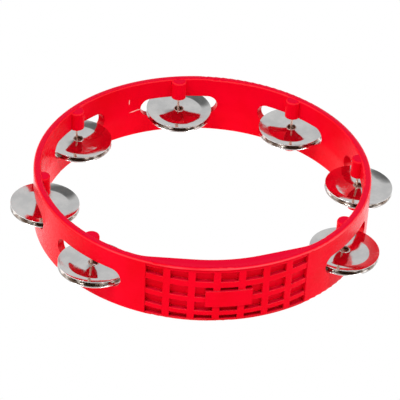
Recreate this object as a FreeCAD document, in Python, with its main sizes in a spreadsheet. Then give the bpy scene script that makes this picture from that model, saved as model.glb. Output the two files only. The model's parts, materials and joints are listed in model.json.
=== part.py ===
import FreeCAD, Part
import math
import os
import Sketcher

# Toy tambourine: one moulded hoop, seven straight pins and seven pairs of jingles.
# The origin is on the hoop's axis in the plane of its bottom rim, +Z is up, and the
# waffle-patterned grip is centred on -Y. Lengths are in mm and angles in degrees.

SIZES = [
    ("hoop_outer_radius", "100", "outside of the plain wall"),
    ("hoop_inner_radius", "95.4", "inside of the plain wall"),
    ("hoop_height", "37.5", "rim to rim"),
    ("outer_rounding", "1.6", "rounding of the two outer rim edges"),
    ("inner_rounding", "1.2", "rounding of the two inner rim edges"),
    ("grip_inner_radius", "90.8", "inside of the thicker grip wall"),
    ("grip_root_radius", "97", "where the grip's extra material ends, inside the wall"),
    ("grip_full_angle", "12", "half angle over which the grip has its full thickness"),
    ("grip_blend_radius", "25", "rounding where the grip runs out into the wall"),
    ("column_pitch", "8.19", "angle between the waffle's columns"),
    ("column_width", "5.8", "angle of one waffle cell"),
    ("rib_radius", "99.6", "outside of the waffle's ribs"),
    ("rib_low", "1.2", "lower end of the waffle panel"),
    ("rib_high", "36", "upper end of the waffle panel"),
    ("cell_floor_radius", "97.2", "bottom of the waffle's cells, measured at their middle"),
    ("cutter_radius", "103", "outer end of every cut from outside"),
    ("row_curve", "0.0024", "how fast the ribs rise away from the middle, in mm per square degree"),
    ("row_one_low", "27.8", "top row of cells, at the middle of the grip"),
    ("row_one_high", "34.3", "straight upper edge"),
    ("row_two_low", "16.8", ""),
    ("row_two_high", "23.85", ""),
    ("row_three_low", "7.3", ""),
    ("row_three_high", "13.4", ""),
    ("row_four_low", "1.9", "straight lower edge"),
    ("row_four_high", "4.45", "bottom row of cells, cut short by the rim"),
    ("badge_angle", "15.4", "angle covered by the blank badge"),
    ("badge_root_radius", "96.5", "where the badge starts, inside the wall"),
    ("badge_radius", "100.3", "outside of the blank badge"),
    ("badge_low", "10.9", ""),
    ("badge_high", "21.7", ""),
    ("station_front_angle", "50.3", "jingle stations, measured from the grip"),
    ("station_side_angle", "90", ""),
    ("station_rear_angle", "134.6", ""),
    ("station_back_angle", "180", ""),
    ("slot_width", "49", "jingle slot, end to end"),
    ("slot_height", "12.2", ""),
    ("pin_circle_radius", "95", "where the pins stand"),
    ("pin_radius", "0.7", ""),
    ("pin_length", "31", ""),
    ("pin_foot", "2", "height of the pin's lower end"),
    ("pin_point", "0.3", "bevel at the pin's upper end"),
    ("bore_top", "33.4", "blind end of the pin's bore"),
    ("boss_radius", "4.6", "half-round pillar that holds a pin"),
    ("boss_foot", "0.6", "height of the pillar's lower end"),
    ("boss_edge", "1.2", "rounding at the pillar's two ends, made of two bevels"),
    ("pair_height", "15.35", "middle of a resting pair of jingles"),
    ("jingle_gap", "0.05", "half of the air gap between two jingles"),
    ("jingle_radius", "20.5", ""),
    ("crease_radius", "14.3", "where the domed middle meets the sloping flange"),
    ("knee_radius", "7.5", "where the dome becomes steeper"),
    ("sheet", "0.45", "thickness of a jingle"),
    ("dome_rise", "1.05", "how far the hole stands above the crease"),
    ("knee_rise", "0.4", "how far the knee stands above the crease"),
    ("flange_rise", "1.45", "how far the rim stands off the crease"),
    ("hole_radius", "2.6", "clear hole in a jingle"),
    ("petal_root_radius", "3.1", "outside of the torn collar at the sheet"),
    ("petal_inner_radius", "2.65", "inside of the collar at its tips"),
    ("petal_outer_radius", "3.05", "outside of the collar at its tips"),
    ("petal_height", "0.55", "collar above the sheet"),
    ("petal_count", "5", ""),
    ("notch_half_width", "1.5", "half of the gap between two petals at their tips"),
    ("notch_root_half_width", "0.3", "half of the gap at the sheet"),
    ("notch_reach", "5", "length of the notch's cut, from the hole's middle outwards"),
]

# how each loose pair of jingles rests on its pin: how far outwards, how far anticlockwise
# seen from above, and how many degrees its inner side hangs down
RESTS = [
    ("front_right", "1.6", "-0.5", "-2"),
    ("right", "1.25", "0", "-2.5"),
    ("rear_right", "-0.55", "-0.45", "1.5"),
    ("rear", "-1.6", "-0.2", "3.5"),
    ("rear_left", "-1.6", "0.2", "2"),
    ("left", "-1.35", "0", "2"),
    ("front_left", "-1.5", "0.5", "3.5"),
]

DERIVED = [
    ("grip_mirrored_angle", "=180 - grip_full_angle"),
    ("boss_head", "=hoop_height - boss_foot"),
    ("boss_foot_middle", "=boss_foot + 0.3 * boss_edge"),
    ("boss_head_middle", "=hoop_height - boss_foot - 0.3 * boss_edge"),
    ("boss_foot_bevel", "=boss_foot + boss_edge"),
    ("boss_head_bevel", "=hoop_height - boss_foot - boss_edge"),
    ("boss_inner_radius", "=pin_circle_radius - boss_radius"),
    ("boss_middle_radius", "=pin_circle_radius - boss_radius + 0.3 * boss_edge"),
    ("boss_bevel_radius", "=pin_circle_radius - boss_radius + boss_edge"),
    ("slot_straight_half", "=(slot_width - slot_height) / 2"),
    ("slot_end_radius", "=slot_height / 2"),
    ("hoop_middle", "=hoop_height / 2"),
    ("waffle_angle", "=6 * column_pitch + column_width"),
    ("cell_half_width", "=rib_radius * sin(column_width * 1deg / 2)"),
    ("cell_depth", "=cutter_radius - cell_floor_radius"),
    ("crease_near", "=jingle_gap"),
    ("crease_far", "=jingle_gap + sheet"),
    ("knee_near", "=jingle_gap + knee_rise"),
    ("knee_far", "=jingle_gap + knee_rise + sheet"),
    ("middle_near", "=jingle_gap + dome_rise"),
    ("middle_far", "=jingle_gap + dome_rise + sheet"),
    ("rim_near", "=jingle_gap + flange_rise"),
    ("rim_far", "=jingle_gap + flange_rise + sheet"),
    ("petal_tip", "=jingle_gap + dome_rise + sheet + petal_height"),
    ("notch_root", "=jingle_gap + dome_rise + sheet + 0.1"),
    ("notch_mouth", "=jingle_gap + dome_rise + sheet + petal_height + 0.3"),
]

# the waffle's cells: lower and upper edge of each row, and whether that edge follows the curve
ROWS = [
    ("row_one", True, False),
    ("row_two", True, True),
    ("row_three", True, True),
    ("row_four", False, True),
]
COLUMNS_EACH_SIDE = 3

# name of each station, its angle in the sheet, and the side of the grip it is on
STATIONS = [
    ("front_right", "station_front_angle", 1),
    ("right", "station_side_angle", 1),
    ("rear_right", "station_rear_angle", 1),
    ("rear", "station_back_angle", 1),
    ("rear_left", "station_rear_angle", -1),
    ("left", "station_side_angle", -1),
    ("front_left", "station_front_angle", -1),
]

doc = FreeCAD.newDocument("tambourine")
sheet = doc.addObject("Spreadsheet::Sheet", "Sizes")


def cell_corner_heights():
    """Height of every curved cell corner: columns are counted from the middle outwards."""
    heights = []
    for column in range(COLUMNS_EACH_SIDE + 1):
        for edge, side in (("near", "-"), ("far", "+")):
            angle = "(%d * column_pitch %s column_width / 2)" % (column, side)
            for row, low_curved, high_curved in ROWS:
                for end, curved in (("low", low_curved), ("high", high_curved)):
                    if curved:
                        alias = "%s_%s_%s%d" % (row, end, edge, column)
                        formula = "=%s_%s + row_curve * %s * %s" % (row, end, angle, angle)
                        heights.append((alias, formula))
    return heights


def fill_sheet():
    """Write every size and every derived size into the sheet, one row each."""
    row = 1
    for alias, number, note in SIZES:
        sheet.set("A%d" % row, alias)
        sheet.set("B%d" % row, number)
        sheet.set("C%d" % row, note)
        sheet.setAlias("B%d" % row, alias)
        row += 1
    for station, outwards, sideways, lean in RESTS:
        for prefix, number in (("rest_out_", outwards), ("rest_side_", sideways), ("rest_lean_", lean)):
            alias = prefix + station
            sheet.set("A%d" % row, alias)
            sheet.set("B%d" % row, number)
            sheet.setAlias("B%d" % row, alias)
            row += 1
    for alias, formula in DERIVED + cell_corner_heights():
        sheet.set("A%d" % row, alias)
        sheet.set("B%d" % row, formula)
        sheet.setAlias("B%d" % row, alias)
        row += 1
    doc.recompute()


def size(name):
    """Value of a sheet entry; a leading minus sign negates it."""
    if name.startswith("-"):
        return -float(sheet.get(name[1:]))
    return float(sheet.get(name))


def new_body(label):
    body = doc.addObject("PartDesign::Body", label)
    body.Label = label
    return body


def origin_feature(body, role):
    for feature in body.Origin.OriginFeatures:
        if feature.Role == role:
            return feature
    raise ValueError(role)


def new_sketch(body, name, plane):
    sketch = body.newObject("Sketcher::SketchObject", name)
    sketch.AttachmentSupport = [(origin_feature(body, plane), "")]
    sketch.MapMode = "FlatFace"
    return sketch


def turn_sketch(sketch, axis, angle):
    """Turn a sketch about one of its own axes by an angle given as an expression."""
    text = "create(<<placement>>; create(<<vector>>; 0; 0; 0); "
    text += "create(<<rotation>>; create(<<vector>>; %s); %s))" % (axis, angle)
    sketch.setExpression("AttachmentOffset", text)


def bind(sketch, constraint, name, alias):
    """Add one dimension to a sketch and drive it from the sheet."""
    index = sketch.addConstraint(constraint)
    sketch.renameConstraint(index, name)
    sketch.setExpression("Constraints." + name, "Sizes." + alias)


def place_point(sketch, geometry, point, tag, x_name, y_name):
    """Fix a point at two signed sheet values, measured from the sketch's origin."""
    for axis, name in (("X", x_name), ("Y", y_name)):
        alias = name.lstrip("-")
        kind = "Distance" + axis
        if name.startswith("-"):
            rule = Sketcher.Constraint(kind, geometry, point, -1, 1, size(alias))
        else:
            rule = Sketcher.Constraint(kind, -1, 1, geometry, point, size(alias))
        bind(sketch, rule, tag + axis.lower(), alias)


def add_polygon(sketch, tag, corners):
    """Closed polygon through corners, each a pair of signed sheet names."""
    points = [FreeCAD.Vector(size(x), size(y), 0) for x, y in corners]
    count = len(points)
    first = sketch.GeometryCount
    for i in range(count):
        sketch.addGeometry(Part.LineSegment(points[i], points[(i + 1) % count]), False)
    for i in range(count):
        following = first + (i + 1) % count
        sketch.addConstraint(Sketcher.Constraint("Coincident", first + i, 2, following, 1))
    for i in range(count):
        place_point(sketch, first + i, 1, "%s%d" % (tag, i), corners[i][0], corners[i][1])


def circle_on_y(sketch, radius_alias, distance_alias):
    """Circle centred on the sketch's own -Y axis."""
    centre = FreeCAD.Vector(0, -size(distance_alias), 0)
    circle = Part.Circle(centre, FreeCAD.Vector(0, 0, 1), size(radius_alias))
    index = sketch.addGeometry(circle, False)
    sketch.addConstraint(Sketcher.Constraint("PointOnObject", index, 3, -2))
    away = Sketcher.Constraint("DistanceY", index, 3, -1, 1, size(distance_alias))
    bind(sketch, away, "away", distance_alias)
    bind(sketch, Sketcher.Constraint("Radius", index, size(radius_alias)), "radius", radius_alias)


def edges_where(feature, test):
    names = []
    for index, edge in enumerate(feature.Shape.Edges):
        if test(edge):
            names.append("Edge%d" % (index + 1))
    return names


def add_fillet(body, name, base, test, alias):
    fillet = body.newObject("PartDesign::Fillet", name)
    fillet.Base = (base, edges_where(base, test))
    fillet.Radius = size(alias)
    fillet.setExpression("Radius", "Sizes." + alias)
    doc.recompute()
    return fillet


def in_plane(edge, height):
    box = edge.BoundBox
    return abs(box.ZMin - height) < 1e-6 and abs(box.ZMax - height) < 1e-6


def add_hoop_wall(hoop):
    """Plain round wall."""
    sketch = new_sketch(hoop, "hoop_wall_outline", "XY_Plane")
    for alias in ("hoop_outer_radius", "hoop_inner_radius"):
        circle = Part.Circle(FreeCAD.Vector(0, 0, 0), FreeCAD.Vector(0, 0, 1), size(alias))
        index = sketch.addGeometry(circle, False)
        sketch.addConstraint(Sketcher.Constraint("Coincident", index, 3, -1, 1))
        bind(sketch, Sketcher.Constraint("Radius", index, size(alias)), alias, alias)
    pad = hoop.newObject("PartDesign::Pad", "hoop_wall")
    pad.Profile = sketch
    pad.Length = size("hoop_height")
    pad.setExpression("Length", "Sizes.hoop_height")
    doc.recompute()


def add_grip_wall(hoop):
    """Extra thickness inside the grip: an arc with a straight run-out at each end."""
    sketch = new_sketch(hoop, "grip_wall_outline", "XY_Plane")
    inner = size("grip_inner_radius")
    root = size("grip_root_radius")
    lean = math.radians(size("grip_full_angle"))
    run = math.sqrt(root * root - inner * inner)
    reach = lean + math.atan2(run, inner)
    start = FreeCAD.Vector(inner * math.sin(lean), -inner * math.cos(lean), 0)
    end = FreeCAD.Vector(root * math.sin(reach), -root * math.cos(reach), 0)
    start_left = FreeCAD.Vector(-start.x, start.y, 0)
    end_left = FreeCAD.Vector(-end.x, end.y, 0)
    centre = FreeCAD.Vector(0, 0, 0)
    up = FreeCAD.Vector(0, 0, 1)
    front = 1.5 * math.pi
    near = Part.ArcOfCircle(Part.Circle(centre, up, inner), front - lean, front + lean)
    far = Part.ArcOfCircle(Part.Circle(centre, up, root), front - reach, front + reach)
    sketch.addGeometry(near, False)
    sketch.addGeometry(far, False)
    sketch.addGeometry(Part.LineSegment(start, end), False)
    sketch.addGeometry(Part.LineSegment(start_left, end_left), False)
    sketch.addConstraint(Sketcher.Constraint("Coincident", 0, 3, -1, 1))
    sketch.addConstraint(Sketcher.Constraint("Coincident", 1, 3, -1, 1))
    bind(sketch, Sketcher.Constraint("Radius", 0, inner), "inner", "grip_inner_radius")
    bind(sketch, Sketcher.Constraint("Radius", 1, root), "root", "grip_root_radius")
    sketch.addConstraint(Sketcher.Constraint("Tangent", 2, 1, 0, 2))
    sketch.addConstraint(Sketcher.Constraint("Tangent", 3, 1, 0, 1))
    sketch.addConstraint(Sketcher.Constraint("Coincident", 2, 2, 1, 2))
    sketch.addConstraint(Sketcher.Constraint("Coincident", 3, 2, 1, 1))
    bind(sketch, Sketcher.Constraint("Angle", 2, lean), "lean", "grip_full_angle")
    mirrored = Sketcher.Constraint("Angle", 3, math.pi - lean)
    bind(sketch, mirrored, "mirrored_lean", "grip_mirrored_angle")
    pad = hoop.newObject("PartDesign::Pad", "grip_wall")
    pad.Profile = sketch
    pad.Length = size("hoop_height")
    pad.setExpression("Length", "Sizes.hoop_height")
    doc.recompute()
    return pad


def round_hoop(hoop, base):
    """Blend the grip into the wall, then round the rim's edges all the way round."""
    inner = size("hoop_inner_radius")

    def grip_corner(edge):
        box = edge.BoundBox
        tall = box.ZLength > size("hoop_height") - 1
        thin = box.XLength < 1e-6 and box.YLength < 1e-6
        return tall and thin and box.YMin < 0 and abs(box.XMin) > inner / 4

    def rim_edges(edge, outside):
        flat = in_plane(edge, 0) or in_plane(edge, size("hoop_height"))
        reach = edge.Vertexes[0].Point
        return flat and outside == (math.hypot(reach.x, reach.y) > size("hoop_outer_radius") - 1)

    blend = add_fillet(hoop, "grip_blend", base, grip_corner, "grip_blend_radius")
    outer = add_fillet(
        hoop, "outer_rim_rounding", blend, lambda edge: rim_edges(edge, True), "outer_rounding")
    add_fillet(hoop, "inner_rim_rounding", outer, lambda edge: rim_edges(edge, False), "inner_rounding")


def band(outer, inner, low, high):
    """Corners of a rectangle on the grip's side, between two radii and two heights."""
    return [("-" + outer, low), ("-" + inner, low), ("-" + inner, high), ("-" + outer, high)]


def add_rib_panel(hoop):
    """Shallow set-back of the outer wall, in which the waffle lies."""
    sketch = new_sketch(hoop, "rib_panel_outline", "YZ_Plane")
    add_polygon(sketch, "corner", band("cutter_radius", "rib_radius", "rib_low", "rib_high"))
    groove = hoop.newObject("PartDesign::Groove", "rib_panel")
    groove.Profile = sketch
    groove.ReferenceAxis = (sketch, ["V_Axis"])
    groove.Midplane = True
    groove.Angle = size("waffle_angle")
    groove.setExpression("Angle", "Sizes.waffle_angle")
    doc.recompute()


def corner_height(row, end, curved, edge, column):
    """Sheet name of the height of one cell corner."""
    name = "%s_%s" % (row, end)
    if curved:
        name += "_%s%d" % (edge, abs(column))
    return name


def add_cell_column(hoop, column):
    """Four cells above each other, cut straight in from outside; columns run from -3 to 3."""
    name = "cells_" + "abcdefg"[column + COLUMNS_EACH_SIDE]
    sketch = new_sketch(hoop, name + "_outline", "XZ_Plane")
    left, right = ("far", "near") if column < 0 else ("near", "far")
    for row, low_curved, high_curved in ROWS:
        corners = [
            ("-cell_half_width", corner_height(row, "low", low_curved, left, column)),
            ("cell_half_width", corner_height(row, "low", low_curved, right, column)),
            ("cell_half_width", corner_height(row, "high", high_curved, right, column)),
            ("-cell_half_width", corner_height(row, "high", high_curved, left, column)),
        ]
        add_polygon(sketch, row + "_corner", corners)
    angle = "(%d * Sizes.column_pitch * 1 deg)" % column
    text = "create(<<placement>>; create(<<vector>>; Sizes.cell_floor_radius * sin(%s); 0; " % angle
    text += "Sizes.cell_floor_radius * cos(%s)); " % angle
    text += "create(<<rotation>>; create(<<vector>>; 0; 1; 0); %d * Sizes.column_pitch))" % column
    sketch.setExpression("AttachmentOffset", text)
    doc.recompute()
    cells = hoop.newObject("PartDesign::Pocket", name)
    cells.Profile = sketch
    cells.Length = size("cell_depth")
    cells.setExpression("Length", "Sizes.cell_depth")
    cells.Reversed = True
    doc.recompute()


def add_badge(hoop):
    """Blank raised badge across the middle of the waffle."""
    sketch = new_sketch(hoop, "badge_outline", "YZ_Plane")
    corners = band("badge_radius", "badge_root_radius", "badge_low", "badge_high")
    add_polygon(sketch, "corner", corners)
    badge = hoop.newObject("PartDesign::Revolution", "badge")
    badge.Profile = sketch
    badge.ReferenceAxis = (sketch, ["V_Axis"])
    badge.Midplane = True
    badge.Angle = size("badge_angle")
    badge.setExpression("Angle", "Sizes.badge_angle")
    doc.recompute()


def station_turn(alias, side):
    """Angle of a station about the hoop's axis, as an expression."""
    return "%d * Sizes.%s" % (side, alias)


def add_pillar(hoop, station, alias, side):
    """Half-round pillar inside the wall; the slot later parts it into two bosses."""
    sketch = new_sketch(hoop, "pillar_outline_" + station, "YZ_Plane")
    corners = [
        ("-pin_circle_radius", "boss_foot"),
        ("-boss_bevel_radius", "boss_foot"),
        ("-boss_middle_radius", "boss_foot_middle"),
        ("-boss_inner_radius", "boss_foot_bevel"),
        ("-boss_inner_radius", "boss_head_bevel"),
        ("-boss_middle_radius", "boss_head_middle"),
        ("-boss_bevel_radius", "boss_head"),
        ("-pin_circle_radius", "boss_head"),
    ]
    add_polygon(sketch, "corner", corners)
    turn_sketch(sketch, "0; 1; 0", station_turn(alias, side))
    pillar = hoop.newObject("PartDesign::Revolution", "pillar_" + station)
    pillar.Profile = sketch
    pillar.ReferenceAxis = (sketch, ["Edge%d" % len(corners)])
    pillar.Angle = 360
    doc.recompute()


def add_slot(hoop, station, alias, side):
    """Stadium-shaped opening straight through the wall."""
    sketch = new_sketch(hoop, "slot_outline_" + station, "XZ_Plane")
    half = size("slot_straight_half")
    radius = size("slot_end_radius")
    middle = size("hoop_middle")
    out = FreeCAD.Vector(0, 0, 1)
    quarter = math.pi / 2
    right = Part.Circle(FreeCAD.Vector(half, middle, 0), out, radius)
    left = Part.Circle(FreeCAD.Vector(-half, middle, 0), out, radius)
    sketch.addGeometry(Part.ArcOfCircle(right, -quarter, quarter), False)
    sketch.addGeometry(Part.ArcOfCircle(left, quarter, 3 * quarter), False)
    high = [FreeCAD.Vector(x, middle + radius, 0) for x in (half, -half)]
    low = [FreeCAD.Vector(x, middle - radius, 0) for x in (-half, half)]
    sketch.addGeometry(Part.LineSegment(high[0], high[1]), False)
    sketch.addGeometry(Part.LineSegment(low[0], low[1]), False)
    for first, second in ((0, 2), (2, 1), (1, 3), (3, 0)):
        sketch.addConstraint(Sketcher.Constraint("Tangent", first, 2, second, 1))
    place_point(sketch, 0, 3, "right", "slot_straight_half", "hoop_middle")
    place_point(sketch, 1, 3, "left", "-slot_straight_half", "hoop_middle")
    sketch.addConstraint(Sketcher.Constraint("Equal", 0, 1))
    bind(sketch, Sketcher.Constraint("Radius", 0, radius), "end", "slot_end_radius")
    turn_sketch(sketch, "0; 1; 0", station_turn(alias, side))
    slot = hoop.newObject("PartDesign::Pocket", "slot_" + station)
    slot.Profile = sketch
    slot.Length = size("cutter_radius")
    slot.setExpression("Length", "Sizes.cutter_radius")
    slot.Reversed = True
    doc.recompute()


def add_bore(hoop, station, alias, side):
    """Blind bore for a pin, open at the bottom rim."""
    sketch = new_sketch(hoop, "bore_outline_" + station, "XY_Plane")
    circle_on_y(sketch, "pin_radius", "pin_circle_radius")
    turn_sketch(sketch, "0; 0; 1", station_turn(alias, side))
    bore = hoop.newObject("PartDesign::Pocket", "bore_" + station)
    bore.Profile = sketch
    bore.Length = size("bore_top")
    bore.setExpression("Length", "Sizes.bore_top")
    bore.Reversed = True
    doc.recompute()


def build_hoop():
    hoop = new_body("hoop")
    add_hoop_wall(hoop)
    round_hoop(hoop, add_grip_wall(hoop))
    add_rib_panel(hoop)
    for column in range(-COLUMNS_EACH_SIDE, COLUMNS_EACH_SIDE + 1):
        add_cell_column(hoop, column)
    add_badge(hoop)
    for station, alias, side in STATIONS:
        add_pillar(hoop, station, alias, side)
    for station, alias, side in STATIONS:
        add_slot(hoop, station, alias, side)
    for station, alias, side in STATIONS:
        add_bore(hoop, station, alias, side)
    return hoop


def add_notches(body, sheet_side):
    """Cut the torn collar round the hole into pointed petals."""
    sketch = new_sketch(body, body.Name + "_notch_outline", "XZ_Plane")
    corners = [
        ("-notch_half_width", sheet_side + "notch_mouth"),
        ("-notch_root_half_width", sheet_side + "notch_root"),
        ("notch_root_half_width", sheet_side + "notch_root"),
        ("notch_half_width", sheet_side + "notch_mouth"),
    ]
    add_polygon(sketch, "corner", corners)
    notch = body.newObject("PartDesign::Pocket", body.Name + "_notch")
    notch.Profile = sketch
    notch.Length = size("notch_reach")
    notch.setExpression("Length", "Sizes.notch_reach")
    notch.Reversed = True
    doc.recompute()
    petals = body.newObject("PartDesign::PolarPattern", body.Name + "_notches")
    petals.Originals = [notch]
    petals.Axis = (sketch, ["V_Axis"])
    petals.Angle = 360
    petals.Occurrences = int(size("petal_count"))
    petals.setExpression("Occurrences", "Sizes.petal_count")
    body.Tip = petals
    doc.recompute()


def stand_at(body, alias, side, height_alias, outwards="0", sideways="0", lean="0"):
    """Place a body near its station's pin line, turned to face outwards and leaning inwards."""
    angle = "(%s * 1 deg)" % station_turn(alias, side)
    radius = "(Sizes.pin_circle_radius + %s)" % outwards
    text = "create(<<placement>>; create(<<vector>>; "
    text += "%s * sin%s + %s * cos%s; " % (radius, angle, sideways, angle)
    text += "%s * sin%s - %s * cos%s; " % (sideways, angle, radius, angle)
    text += "Sizes.%s); create(<<rotation>>; " % height_alias
    text += "%s; 0; 0 - %s))" % (station_turn(alias, side), lean)
    body.setExpression("Placement", text)


def build_jingle(label, station, alias, side, sheet_side):
    """One pressed jingle; sheet_side is "" for the upper one and "-" for the lower one."""
    body = new_body(label)
    sketch = new_sketch(body, label + "_section", "XZ_Plane")
    corners = [
        ("hole_radius", sheet_side + "middle_near"),
        ("knee_radius", sheet_side + "knee_near"),
        ("crease_radius", sheet_side + "crease_near"),
        ("jingle_radius", sheet_side + "rim_near"),
        ("jingle_radius", sheet_side + "rim_far"),
        ("crease_radius", sheet_side + "crease_far"),
        ("knee_radius", sheet_side + "knee_far"),
        ("petal_root_radius", sheet_side + "middle_far"),
        ("petal_outer_radius", sheet_side + "petal_tip"),
        ("petal_inner_radius", sheet_side + "petal_tip"),
    ]
    add_polygon(sketch, "corner", corners)
    disc = body.newObject("PartDesign::Revolution", label + "_disc")
    disc.Profile = sketch
    disc.ReferenceAxis = (sketch, ["V_Axis"])
    disc.Angle = 360
    doc.recompute()
    add_notches(body, sheet_side)
    rest = ["Sizes.rest_%s_%s" % (kind, station) for kind in ("out", "side", "lean")]
    stand_at(body, alias, side, "pair_height", *rest)
    return body


def build_pin(label, alias, side):
    """Straight pin with a small bevel at its upper end."""
    body = new_body(label)
    sketch = new_sketch(body, label + "_section", "XY_Plane")
    circle = Part.Circle(FreeCAD.Vector(0, 0, 0), FreeCAD.Vector(0, 0, 1), size("pin_radius"))
    sketch.addGeometry(circle, False)
    sketch.addConstraint(Sketcher.Constraint("Coincident", 0, 3, -1, 1))
    bind(sketch, Sketcher.Constraint("Radius", 0, size("pin_radius")), "radius", "pin_radius")
    shank = body.newObject("PartDesign::Pad", label + "_shank")
    shank.Profile = sketch
    shank.Length = size("pin_length")
    shank.setExpression("Length", "Sizes.pin_length")
    doc.recompute()
    top = edges_where(shank, lambda edge: in_plane(edge, size("pin_length")))
    bevel = body.newObject("PartDesign::Chamfer", label + "_bevel")
    bevel.Base = (shank, top)
    bevel.Size = size("pin_point")
    bevel.setExpression("Size", "Sizes.pin_point")
    doc.recompute()
    stand_at(body, alias, side, "pin_foot")
    return body


def build_parts():
    parts = [build_hoop()]
    for station, alias, side in STATIONS:
        parts.append(build_pin("pin_" + station, alias, side))
        parts.append(build_jingle("upper_jingle_" + station, station, alias, side, ""))
        parts.append(build_jingle("lower_jingle_" + station, station, alias, side, "-"))
    doc.recompute()
    return parts


def check_document(parts):
    """Stop before anything is written if a feature or a sub-part went wrong."""
    for item in doc.Objects:
        if "Invalid" in item.State or "Error" in item.State:
            raise RuntimeError("feature failed: " + item.Name)
        if item.TypeId == "Sketcher::SketchObject" and not item.FullyConstrained:
            raise RuntimeError("sketch is not fully constrained: " + item.Name)
    for part in parts:
        if part.Shape.isNull() or not part.Shape.isValid() or len(part.Shape.Solids) != 1:
            raise RuntimeError("bad shape: " + part.Label)


def write_parts(parts):
    os.makedirs("parts", exist_ok=True)
    for part in parts:
        part.Shape.exportStep(os.path.join("parts", part.Label + ".step"))


fill_sheet()
finished = build_parts()
check_document(finished)
write_parts(finished)
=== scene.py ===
import bpy
import json
import math
import random
from mathutils import Matrix, Vector


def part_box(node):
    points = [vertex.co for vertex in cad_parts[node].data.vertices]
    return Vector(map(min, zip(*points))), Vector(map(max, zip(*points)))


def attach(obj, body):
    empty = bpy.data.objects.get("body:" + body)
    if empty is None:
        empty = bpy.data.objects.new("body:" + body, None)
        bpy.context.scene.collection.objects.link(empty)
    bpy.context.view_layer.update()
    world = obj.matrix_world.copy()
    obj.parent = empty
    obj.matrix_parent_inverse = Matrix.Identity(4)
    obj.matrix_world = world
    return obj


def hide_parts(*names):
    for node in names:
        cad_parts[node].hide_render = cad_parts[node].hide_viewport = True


# Toy tambourine. The hoop and the pins are the frame's own objects with new materials; every
# jingle is replaced by a finer pressed sheet of nearly the same size. The sizes named below
# are in mm; places of the lamps and the camera are in metres.

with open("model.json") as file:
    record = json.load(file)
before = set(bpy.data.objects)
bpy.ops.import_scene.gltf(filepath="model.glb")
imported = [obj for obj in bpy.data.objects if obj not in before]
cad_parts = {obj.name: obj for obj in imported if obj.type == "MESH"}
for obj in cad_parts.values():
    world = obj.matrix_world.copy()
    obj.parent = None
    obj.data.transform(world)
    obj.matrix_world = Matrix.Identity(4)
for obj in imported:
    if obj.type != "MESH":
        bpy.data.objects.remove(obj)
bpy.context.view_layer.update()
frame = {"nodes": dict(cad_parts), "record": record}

MM = 0.001
STATIONS = ["front_right", "right", "rear_right", "rear", "rear_left", "left", "front_left"]

# the hoop's wall, and the heights between which its inside turns from glossy to matt
WALL_INSIDE = 95.4
GLOSSY_BELOW, MATT_ABOVE = 13.0, 18.0

# red plastic: its two random tones, painted shade on flat tops, painted highlights on the edges, painted
# shade at the silhouettes and in deep cells, and the two scuffs
RED_DARK, RED_LIGHT = (0.77, 0.001, 0.009, 1), (0.85, 0.001, 0.016, 1)
RED_TOP_PAINTED_SHADE = (0.58, 0.003, 0.026, 1)
RED_EDGE_PAINTED_HIGHLIGHT = (0.98, 0.13, 0.14, 1)
RED_SILHOUETTE_PAINTED_SHADE = (0.20, 0.0, 0.03, 1)
RED_CELL_PAINTED_SHADE = (0.36, 0.0, 0.0, 1)
SCUFFED = (0.95, 0.55, 0.5, 1)

# plated sheet: outside, inside a pair with painted shade and painted light patches, and the stained metal
# round the hole
PLATE_LIGHT, PLATE_DARK = (0.80, 0.79, 0.78, 1), (0.66, 0.66, 0.66, 1)
PAIR_INSIDE_PAINTED_LIGHT, PAIR_INSIDE_PAINTED_SHADE = (0.82, 0.80, 0.78, 1), (0.36, 0.30, 0.26, 1)
RUST_LIGHT, RUST_DARK = (0.60, 0.34, 0.22, 1), (0.32, 0.17, 0.11, 1)
STAIN = (0.30, 0.18, 0.13, 1)
WIRE_LIGHT, WIRE_DARK = (0.95, 0.80, 0.66, 1), (0.60, 0.40, 0.28, 1)

# a jingle: radii of the hole, the crease and the rim, then sheet, air gap and the two rises
HOLE, CREASE, RIM = 2.6, 14.3, 20.48
SHEET, GAP, DOME, FLANGE = 0.45, 0.05, 1.05, 1.43

# the torn collar round the hole: points, and its height between two of them
PETALS = 5
COLLAR_LOW = 0.04

# steps in one turn of a jingle's mesh
TURN = 144


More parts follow.
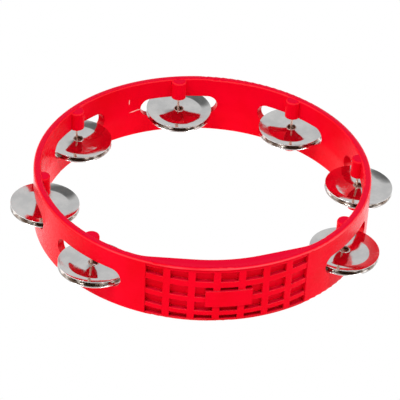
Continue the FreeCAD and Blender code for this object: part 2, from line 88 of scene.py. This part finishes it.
# ---------------------------------------------------------------- node helpers
class Tree:
    """Small helper round a node tree: adds nodes, links them and sets inputs."""

    def __init__(self, tree):
        self.tree = tree
        tree.nodes.clear()

    def add(self, kind, **settings):
        node = self.tree.nodes.new(kind)
        for key, value in settings.items():
            setattr(node, key, value)
        return node

    def link(self, source, target):
        self.tree.links.new(source, target)

    def feed(self, node, name, value):
        """Set an input to a number, a colour, or another node's output."""
        socket = node.inputs[name]
        if isinstance(value, bpy.types.NodeSocket):
            self.link(value, socket)
        else:
            socket.default_value = value

    def maths(self, operation, a, b=None, clamp=False):
        node = self.add("ShaderNodeMath", operation=operation, use_clamp=clamp)
        self.feed(node, 0, a)
        if b is not None:
            self.feed(node, 1, b)
        return node.outputs[0]

    def times(self, a, b, clamp=False):
        return self.maths("MULTIPLY", a, b, clamp)

    def noise(self, vector, scale, detail=3.0, roughness=0.5, distortion=0.0):
        node = self.add("ShaderNodeTexNoise")
        self.link(vector, node.inputs["Vector"])
        self.feed(node, "Scale", scale)
        self.feed(node, "Detail", detail)
        self.feed(node, "Roughness", roughness)
        self.feed(node, "Distortion", distortion)
        return node.outputs["Fac"]

    def ramp(self, value, low, high, to_low=0.0, to_high=1.0):
        node = self.add("ShaderNodeMapRange", interpolation_type="SMOOTHSTEP")
        self.feed(node, "Value", value)
        self.feed(node, "From Min", low)
        self.feed(node, "From Max", high)
        self.feed(node, "To Min", to_low)
        self.feed(node, "To Max", to_high)
        return node.outputs["Result"]

    def mix(self, factor, a, b):
        node = self.add("ShaderNodeMix", data_type="RGBA")
        self.feed(node, 0, factor)
        self.feed(node, 6, a)
        self.feed(node, 7, b)
        return node.outputs[2]

    def mix_shader(self, factor, a, b):
        node = self.add("ShaderNodeMixShader")
        for index, source in enumerate((factor, a, b)):
            self.link(source, node.inputs[index])
        return node.outputs[0]

    def bump(self, height, strength, distance, normal=None):
        node = self.add("ShaderNodeBump")
        self.feed(node, "Strength", strength)
        self.feed(node, "Distance", distance)
        self.link(height, node.inputs["Height"])
        if normal is not None:
            self.link(normal, node.inputs["Normal"])
        return node.outputs["Normal"]

    def split(self, vector):
        node = self.add("ShaderNodeSeparateXYZ")
        self.link(vector, node.inputs[0])
        return node.outputs

    def place(self):
        return self.add("ShaderNodeTexCoord").outputs["Object"]

    def finish(self, shader):
        output = self.add("ShaderNodeOutputMaterial")
        self.link(shader, output.inputs["Surface"])


def new_material(name):
    material = bpy.data.materials.new(name)
    material.use_nodes = True
    tree = Tree(material.node_tree)
    return material, tree, tree.add("ShaderNodeBsdfPrincipled")


def distance_from_axis(tree, place):
    """Distance from the piece's own upright axis."""
    x, y, _ = tree.split(place)
    return tree.maths("SQRT", tree.maths("ADD", tree.times(x, x), tree.times(y, y)))


# ---------------------------------------------------------------- red plastic
def plastic_material():
    """Glossy red plastic with painted shade on flat tops, painted pale highlights on the edges, painted
    dark silhouettes and painted shade in the cells.
    """
    material, tree, surface = new_material("red_moulded_plastic")
    place = tree.place()
    radius = distance_from_axis(tree, place)
    inside = tree.ramp(radius, (WALL_INSIDE + 0.4) * MM, (WALL_INSIDE + 1.0) * MM, 1.0, 0.0)
    edge = tree.add("ShaderNodeBevel", samples=8)
    tree.feed(edge, "Radius", 0.5 * MM)
    softened = edge.outputs[0]
    rise = tree.split(softened)[2]
    facing_node = tree.add("ShaderNodeLayerWeight")
    tree.feed(facing_node, "Blend", 0.5)
    facing = facing_node.outputs["Facing"]

    mottle = tree.noise(place, 45.0, 3.0, 0.55)
    flow = tree.noise(place, 12.0, 2.0, 0.5, 1.2)
    tone = tree.ramp(tree.maths("ADD", mottle, flow), 0.7, 1.3)
    colour = tree.mix(tone, RED_DARK, RED_LIGHT)
    # painted shade: faces that point upwards are darkened
    painted_shade_on_tops = tree.times(tree.ramp(rise, 0.84, 0.97), 0.85)
    colour = tree.mix(painted_shade_on_tops, colour, RED_TOP_PAINTED_SHADE)
    # painted highlight: pale lines along the rounded edges
    colour = tree.mix(painted_edge_highlights(tree, rise, radius, flow), colour, RED_EDGE_PAINTED_HIGHLIGHT)
    # painted shade: a dark line where the rounded edges are seen edge-on
    painted_silhouette_shade = tree.times(tree.ramp(facing, 0.84, 0.98, 0.0, 0.75), tree.ramp(rise, 0.1, 0.3))
    colour = tree.mix(painted_silhouette_shade, colour, RED_SILHOUETTE_PAINTED_SHADE)
    # painted shade: the tops of the grip's cells are darkened under the ledges
    colour = tree.mix(painted_ledge_shade(tree, softened), RED_CELL_PAINTED_SHADE, colour)
    colour = tree.mix(tree.times(scuffs(tree, place), tree.times(inside, 0.75)), colour, SCUFFED)
    tree.feed(surface, "Base Color", colour)

    smear = tree.noise(place, 160.0, 4.0, 0.6)
    tree.feed(surface, "Roughness", tree.ramp(smear, 0.3, 0.75, 0.22, 0.34))
    tree.feed(surface, "IOR", 1.45)
    height = tree.split(place)[2]
    matt = tree.times(inside, tree.ramp(height, GLOSSY_BELOW * MM, MATT_ABOVE * MM, 0.0, 0.8))
    gloss = tree.ramp(facing, 0.25, 0.95, 0.02, 0.16)
    tree.feed(surface, "Specular IOR Level", tree.times(gloss, tree.maths("SUBTRACT", 1.0, matt)))
    tree.feed(surface, "Specular Tint", (1.0, 0.3, 0.35, 1))

    sink = tree.noise(place, 70.0, 1.0, 0.4)
    skin = tree.noise(place, 900.0, 2.0, 0.5)
    normal = tree.bump(sink, 0.10, 0.4 * MM, softened)
    tree.feed(surface, "Normal", tree.bump(skin, 0.05, 0.1 * MM, normal))
    tree.finish(surface.outputs[0])
    return material


def painted_edge_highlights(tree, rise, radius, flow):
    """Painted highlights: pale lines where an upright face turns into a level one, faint on the inner
    edges.
    """
    turning = tree.times(tree.ramp(rise, 0.22, 0.5), tree.ramp(rise, 0.66, 0.86, 1.0, 0.0))
    patchy = tree.times(turning, tree.ramp(flow, 0.35, 0.65, 0.18, 0.62))
    outer_edge = tree.ramp(radius, (WALL_INSIDE + 0.8) * MM, (WALL_INSIDE + 3.0) * MM, 0.35, 1.0)
    return tree.times(patchy, outer_edge)


def painted_ledge_shade(tree, normal):
    """Painted shade: 1 in the open and less under a ledge, so that the tops of the grip's cells are
    painted dark.
    """
    lifted = tree.add("ShaderNodeVectorMath", operation="ADD")
    tree.link(normal, lifted.inputs[0])
    lifted.inputs[1].default_value = (0.0, 0.0, 1.1)
    level = tree.add("ShaderNodeVectorMath", operation="NORMALIZE")
    tree.link(lifted.outputs[0], level.inputs[0])
    sky = tree.add("ShaderNodeAmbientOcclusion", samples=8, only_local=True)
    tree.feed(sky, "Distance", 4.0 * MM)
    tree.link(level.outputs[0], sky.inputs["Normal"])
    return tree.ramp(sky.outputs["AO"], 0.12, 0.62)


def scuffs(tree, place):
    """A short upright nick and a longer slanting scratch, left of the rear station."""
    x, y, z = tree.split(place)
    angle = tree.maths("ARCTAN2", tree.times(x, -1.0), y)
    shake = tree.maths("SUBTRACT", tree.noise(place, 300.0, 2.0), 0.5)
    height = tree.maths("ADD", z, tree.times(shake, 0.8 * MM))

    def stroke(value, middle, half):
        off = tree.maths("ABSOLUTE", tree.maths("SUBTRACT", value, middle))
        return tree.ramp(off, half * 0.4, half, 1.0, 0.0)

    nick_angle, nick_height = math.radians(19.6), 25.6 * MM
    nick = tree.times(stroke(angle, nick_angle, 0.004), stroke(height, nick_height, 2.2 * MM))
    scratch_angle, scratch_height = math.radians(17.0), 18.6 * MM
    slant = tree.times(tree.maths("SUBTRACT", angle, math.radians(15.0)), -12.0 * MM)
    levelled = tree.maths("SUBTRACT", height, slant)
    along = stroke(angle, scratch_angle, 0.05)
    scratch = tree.times(along, stroke(levelled, scratch_height, 0.5 * MM))
    return tree.maths("MAXIMUM", nick, scratch)


# ---------------------------------------------------------------- metal
def nickel_material():
    """Plated sheet, slightly dented, with painted shade and painted light patches inside a pair, and
    stained round the hole.
    """
    material, tree, surface = new_material("plated_jingle_sheet")
    place = tree.place()
    radius = distance_from_axis(tree, place)
    cloud = tree.noise(place, 90.0, 4.0, 0.6)
    near_hole = tree.ramp(radius, (HOLE + 0.35) * MM, (HOLE + 1.0) * MM, 1.0, 0.0)
    speckle = tree.noise(place, 900.0, 2.0, 0.5)
    stain = tree.times(near_hole, tree.ramp(speckle, 0.40, 0.56, 0.45, 1.0), clamp=True)
    turned_in = tree.add("ShaderNodeAttribute", attribute_name="turned_in").outputs["Fac"]
    rust = tree.times(turned_in, tree.ramp(radius, 5.0 * MM, 9.0 * MM, 1.0, 0.0))

    plate = tree.mix(tree.ramp(cloud, 0.3, 0.7), PLATE_LIGHT, PLATE_DARK)
    colour = tree.mix(stain, plate, STAIN)
    # painted shade and painted light: the faces inside a pair are darkened, in light and dark patches
    painted_light_patches = tree.ramp(tree.noise(place, 130.0, 2.0, 0.5), 0.44, 0.56)
    colour = tree.mix(turned_in, colour, tree.mix(painted_light_patches, PAIR_INSIDE_PAINTED_SHADE, PAIR_INSIDE_PAINTED_LIGHT))
    colour = tree.mix(rust, colour, tree.mix(tree.ramp(cloud, 0.4, 0.6), RUST_LIGHT, RUST_DARK))
    tree.feed(surface, "Base Color", colour)
    covered = tree.times(tree.maths("MAXIMUM", rust, stain), 0.75)
    tree.feed(surface, "Metallic", tree.maths("SUBTRACT", 1.0, covered))

    fine = tree.noise(place, 420.0, 5.0, 0.65)
    rough = tree.maths("ADD", tree.ramp(fine, 0.3, 0.8, 0.05, 0.16), tree.times(stain, 0.25))
    tree.feed(surface, "Roughness", rough)
    dents = tree.noise(place, 80.0, 1.5, 0.4)
    pressed_rings = tree.maths("SINE", tree.times(radius, 9000.0))
    height = tree.maths("ADD", tree.times(pressed_rings, 0.003), dents)
    tree.feed(surface, "Normal", tree.bump(height, 0.65, 0.5 * MM))
    tree.finish(surface.outputs[0])
    return material


def pin_material():
    """Drawn wire with fine marks along its length and a brown tarnish."""
    material, tree, surface = new_material("pin_wire")
    place = tree.place()
    stretch = tree.add("ShaderNodeMapping")
    stretch.inputs["Scale"].default_value = (1.0, 1.0, 0.12)
    tree.link(place, stretch.inputs["Vector"])
    drawn = tree.noise(stretch.outputs[0], 3000.0, 3.0, 0.6)
    tarnish = tree.noise(place, 260.0, 3.0, 0.6)
    tree.feed(surface, "Base Color", tree.mix(tree.ramp(tarnish, 0.35, 0.7), WIRE_LIGHT, WIRE_DARK))
    tree.feed(surface, "Metallic", 0.45)
    tree.feed(surface, "Roughness", tree.ramp(drawn, 0.3, 0.7, 0.3, 0.45))
    tree.feed(surface, "Normal", tree.bump(drawn, 0.12, 0.05 * MM))
    tree.finish(surface.outputs[0])
    return material


# ---------------------------------------------------------------- jingles
def sheet_height(radius):
    """Height in mm of a jingle's inner face over the middle of its pair."""
    if radius < CREASE:
        share = min(1.0, (CREASE - radius) / (CREASE - HOLE))
        return DOME * (0.35 * share + 0.65 * share ** 2.6)
    share = (radius - CREASE) / (RIM - CREASE)
    return FLANGE * (0.55 * share + 0.45 * share * share)


def soft_height(radius):
    """The same, with the crease pressed to a small radius."""
    steps = (-0.5, -0.3, -0.1, 0.1, 0.3, 0.5)
    reach = min(1.0, max(0.0, (RIM - radius) / 0.6))
    return GAP + sum(sheet_height(radius + reach * step) for step in steps) / len(steps)


def sheet_radii():
    """Where the sheet's faces have a ring of points: closest round the crease and the collar."""
    inner = [3.15, 3.5, 4.0, 4.6, 5.4, 6.4, 7.6, 8.8, 10.0, 11.2, 12.4, 13.2]
    crease = [13.6, 13.9, 14.1, 14.3, 14.5, 14.7, 15.0]
    flange = [15.6, 16.4, 17.2, 18.0, 18.8, 19.4, 19.8, 20.0]
    return inner + crease + flange


def section(petal, tilt):
    """Closed section at one angle: (radius, height) pairs in mm, and 1 for those on the inner face.

    petal is the collar's height at this angle and tilt is how far it leans outwards.
    """
    radii = sheet_radii()
    top = [(radius, soft_height(radius) + SHEET) for radius in radii]
    half = SHEET / 2
    middle_radius = RIM - half
    middle_height = soft_height(RIM) + half
    edge = []
    for step in range(1, 6):
        angle = math.pi / 2 - step * math.pi / 6
        edge.append((middle_radius + half * math.cos(angle), middle_height + half * math.sin(angle)))
    under = [(radius, soft_height(radius)) for radius in reversed(radii)]
    near = soft_height(HOLE)
    base = near + SHEET
    tip = base + petal
    collar = [
        (HOLE, near + 0.05),
        (HOLE + 0.02, base),
        (HOLE + 0.04 + tilt * 0.5, base + petal * 0.5),
        (HOLE + 0.1 + tilt * 0.8, tip),
        (HOLE + 0.34 + tilt, tip - 0.08 * petal),
        (HOLE + 0.4 + tilt * 0.6, base + petal * 0.45),
        (HOLE + 0.45, base + 0.06),
    ]
    inner = [0.0] * (len(top) + len(edge)) + [1.0] * len(under) + [0.0] * len(collar)
    return top + edge + under + collar, inner


def petal_profile(draw):
    """Collar height and outward tilt at every angle, with uneven torn points."""
    starts = [i / PETALS + draw.uniform(-0.018, 0.018) for i in range(PETALS)]
    heights = [draw.uniform(0.36, 0.54) for _ in range(PETALS)]
    tilts = [draw.uniform(0.0, 0.15) for _ in range(PETALS)]
    result = []
    for step in range(TURN):
        share = step / TURN
        here = min(range(PETALS), key=lambda i: (share - starts[i]) % 1.0)
        width = (starts[(here + 1) % PETALS] - starts[here]) % 1.0
        along = ((share - starts[here]) % 1.0) / width
        peak = 1.0 - abs(2.0 * along - 1.0)
        height = COLLAR_LOW + (1.0 - COLLAR_LOW) * heights[here] * peak ** 0.85
        result.append((height, tilts[here] * peak))
    return result


def jingle_mesh(name, side, lean, seed):
    """One jingle round its own origin; side is 1 for the upper one and -1 for the lower one.

    lean turns the jingle from level to the way it hangs on its pin. The flange is bent by a
    few hundredths of a millimetre.
    """
    draw = random.Random(seed)
    petals = petal_profile(draw)
    bend = [draw.uniform(-0.035, 0.035) for _ in range(3)]
    phase = [draw.uniform(0, 2 * math.pi) for _ in range(3)]
    verts, faces, turned_in = [], [], []
    for step in range(TURN):
        angle = 2 * math.pi * step / TURN
        ring, inner = section(*petals[step])
        turned_in.extend(inner)
        wave = sum(bend[k] * math.cos((k + 2) * angle + phase[k]) for k in range(3))
        for radius, height in ring:
            warp = wave * (radius / RIM) ** 2
            point = Vector((radius * math.cos(angle), radius * math.sin(angle), side * (height + warp)))
            verts.append(lean @ point * MM)
    count = len(verts) // TURN
    for step in range(TURN):
        here = step * count
        there = (step + 1) % TURN * count
        for k in range(count):
            after = (k + 1) % count
            quad = (here + k, there + k, there + after, here + after)
            faces.append(quad if side > 0 else quad[::-1])
    mesh = bpy.data.meshes.new(name)
    mesh.from_pydata(verts, [], faces)
    mesh.attributes.new("turned_in", "FLOAT", "POINT").data.foreach_set("value", turned_in)
    for polygon in mesh.polygons:
        polygon.use_smooth = True
    mesh.set_sharp_from_angle(angle=math.radians(50))
    return mesh


def build_jingles(material):
    """A pressed sheet for every jingle, hung where its pair's spin axis is."""
    joints = frame["record"]["behaviour"]["joints"]
    spins = {joint["child"]: joint for joint in joints if joint["type"] == "hinge"}
    for index, station in enumerate(STATIONS):
        spin = spins["lower_jingle_" + station]
        lean = Vector((0, 0, 1)).rotation_difference(Vector(spin["axis"])).to_matrix()
        for part, side in (("upper", 1), ("lower", -1)):
            node = part + "_jingle_" + station
            mesh = jingle_mesh(node + "_disc", side, lean, 100 + 2 * index + (side > 0))
            mesh.materials.append(material)
            piece = bpy.data.objects.new(node + "_disc", mesh)
            bpy.context.scene.collection.objects.link(piece)
            piece.location = spin["pos_m"]
            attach(piece, node)
            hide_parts(node)


# ---------------------------------------------------------------- stage
def floor_material():
    """White paper: evenly white to the camera, softly lit for the object, clear from below."""
    material, tree, surface = new_material("studio_floor")
    grain = tree.noise(tree.place(), 3.0, 2.0, 0.5)
    tree.feed(surface, "Base Color", tree.mix(grain, (0.42, 0.42, 0.42, 1), (0.45, 0.45, 0.45, 1)))
    tree.feed(surface, "Roughness", 0.9)
    tree.feed(surface, "Specular IOR Level", 0.0)
    tree.feed(surface, "Emission Color", (1, 1, 1, 1))
    tree.feed(surface, "Emission Strength", 0.95)
    paper = tree.add("ShaderNodeEmission")
    tree.feed(paper, "Strength", 1.0)
    clear = tree.add("ShaderNodeBsdfTransparent")
    from_camera = tree.add("ShaderNodeLightPath").outputs["Is Camera Ray"]
    from_below = tree.add("ShaderNodeNewGeometry").outputs["Backfacing"]
    above = tree.mix_shader(from_camera, surface.outputs[0], paper.outputs[0])
    tree.finish(tree.mix_shader(from_below, above, clear.outputs[0]))
    return material


def add_floor():
    """A square sheet of paper, a hair below the hoop's lower rim."""
    mesh = bpy.data.meshes.new("floor")
    half = 6.0
    corners = [(-half, -half, 0), (half, -half, 0), (half, half, 0), (-half, half, 0)]
    mesh.from_pydata(corners, [], [(0, 1, 2, 3)])
    mesh.materials.append(floor_material())
    floor = bpy.data.objects.new("floor", mesh)
    bpy.context.scene.collection.objects.link(floor)
    floor.location.z = -0.02 * MM


def add_light(name, place, size, power):
    """A soft rectangular lamp that points at the middle of the hoop's lower rim."""
    data = bpy.data.lights.new(name, "AREA")
    data.shape = "RECTANGLE"
    data.size, data.size_y = size
    data.energy = power
    light = bpy.data.objects.new(name, data)
    bpy.context.scene.collection.objects.link(light)
    light.location = place
    light.rotation_euler = (-Vector(place)).to_track_quat("-Z", "Y").to_euler()


def add_world():
    """Pale studio tent: grey walls, two large soft boxes at the sides and one dark gap."""
    near_wall, far_wall, left_box, right_box = 0.24, 0.70, 0.9, 0.7
    world = bpy.data.worlds.new("studio")
    bpy.context.scene.world = world
    world.use_nodes = True
    tree = Tree(world.node_tree)
    direction = tree.add("ShaderNodeTexCoord").outputs["Generated"]
    x, y, z = tree.split(direction)
    walls = tree.ramp(y, -0.6, 0.3, near_wall, far_wall)
    band = tree.times(tree.ramp(z, 0.25, 0.35), tree.ramp(z, 0.70, 0.80, 1.0, 0.0))
    left = tree.ramp(x, -0.80, -0.65, left_box, 0.0)
    right = tree.ramp(x, 0.65, 0.80, 0.0, right_box)
    boxes = tree.times(band, tree.maths("ADD", left, right))
    towards_gap = tree.add("ShaderNodeVectorMath", operation="DOT_PRODUCT")
    tree.link(direction, towards_gap.inputs[0])
    towards_gap.inputs[1].default_value = Vector((-0.10, 0.57, 0.82)).normalized()
    gap = tree.ramp(towards_gap.outputs["Value"], 0.955, 0.995, 1.0, 0.22)
    back = tree.add("ShaderNodeBackground")
    tree.feed(back, "Color", (1.0, 1.0, 1.0, 1))
    tree.feed(back, "Strength", tree.times(tree.maths("ADD", walls, boxes), gap))
    output = tree.add("ShaderNodeOutputWorld")
    tree.link(back.outputs[0], output.inputs["Surface"])


def add_camera():
    """Camera in front of the grip and a little to its left, looking down, slightly rolled."""
    azimuth, elevation, roll = math.radians(-10.72), math.radians(35.47), math.radians(3.06)
    distance = 1.25148
    level_reach = math.cos(elevation)
    back = Vector((math.sin(azimuth) * level_reach, -math.cos(azimuth) * level_reach, math.sin(elevation)))
    data = bpy.data.cameras.new("studio_camera")
    data.sensor_width = 36.0
    data.lens = 188.77
    data.shift_x = -0.00388
    data.shift_y = -0.02128
    camera = bpy.data.objects.new("studio_camera", data)
    bpy.context.scene.collection.objects.link(camera)
    right = (-back).cross(Vector((0, 0, 1))).normalized()
    up = right.cross(-back)
    rolled_right = right * math.cos(roll) + up * math.sin(roll)
    rolled_up = up * math.cos(roll) - right * math.sin(roll)
    turn = Matrix((rolled_right, rolled_up, back)).transposed().to_4x4()
    low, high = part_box("hoop")
    target = Vector((0, 0, (low.z + high.z) / 2))
    camera.matrix_world = Matrix.Translation(target + back * distance) @ turn
    bpy.context.scene.camera = camera


# ---------------------------------------------------------------- scene
plastic = plastic_material()
wire = pin_material()
for name, node in frame["nodes"].items():
    if name == "hoop":
        node.material_slots[0].material = plastic
    if name.startswith("pin_"):
        node.material_slots[0].material = wire
build_jingles(nickel_material())
add_floor()
add_world()
add_light("key", (-1.05, -0.5, 1.75), (1.1, 0.6), 22.0)
add_light("fill", (0.85, -0.75, 1.8), (1.0, 0.6), 18.0)
add_camera()
view = bpy.context.scene.view_settings
view.view_transform = "Standard"
view.look = "None"
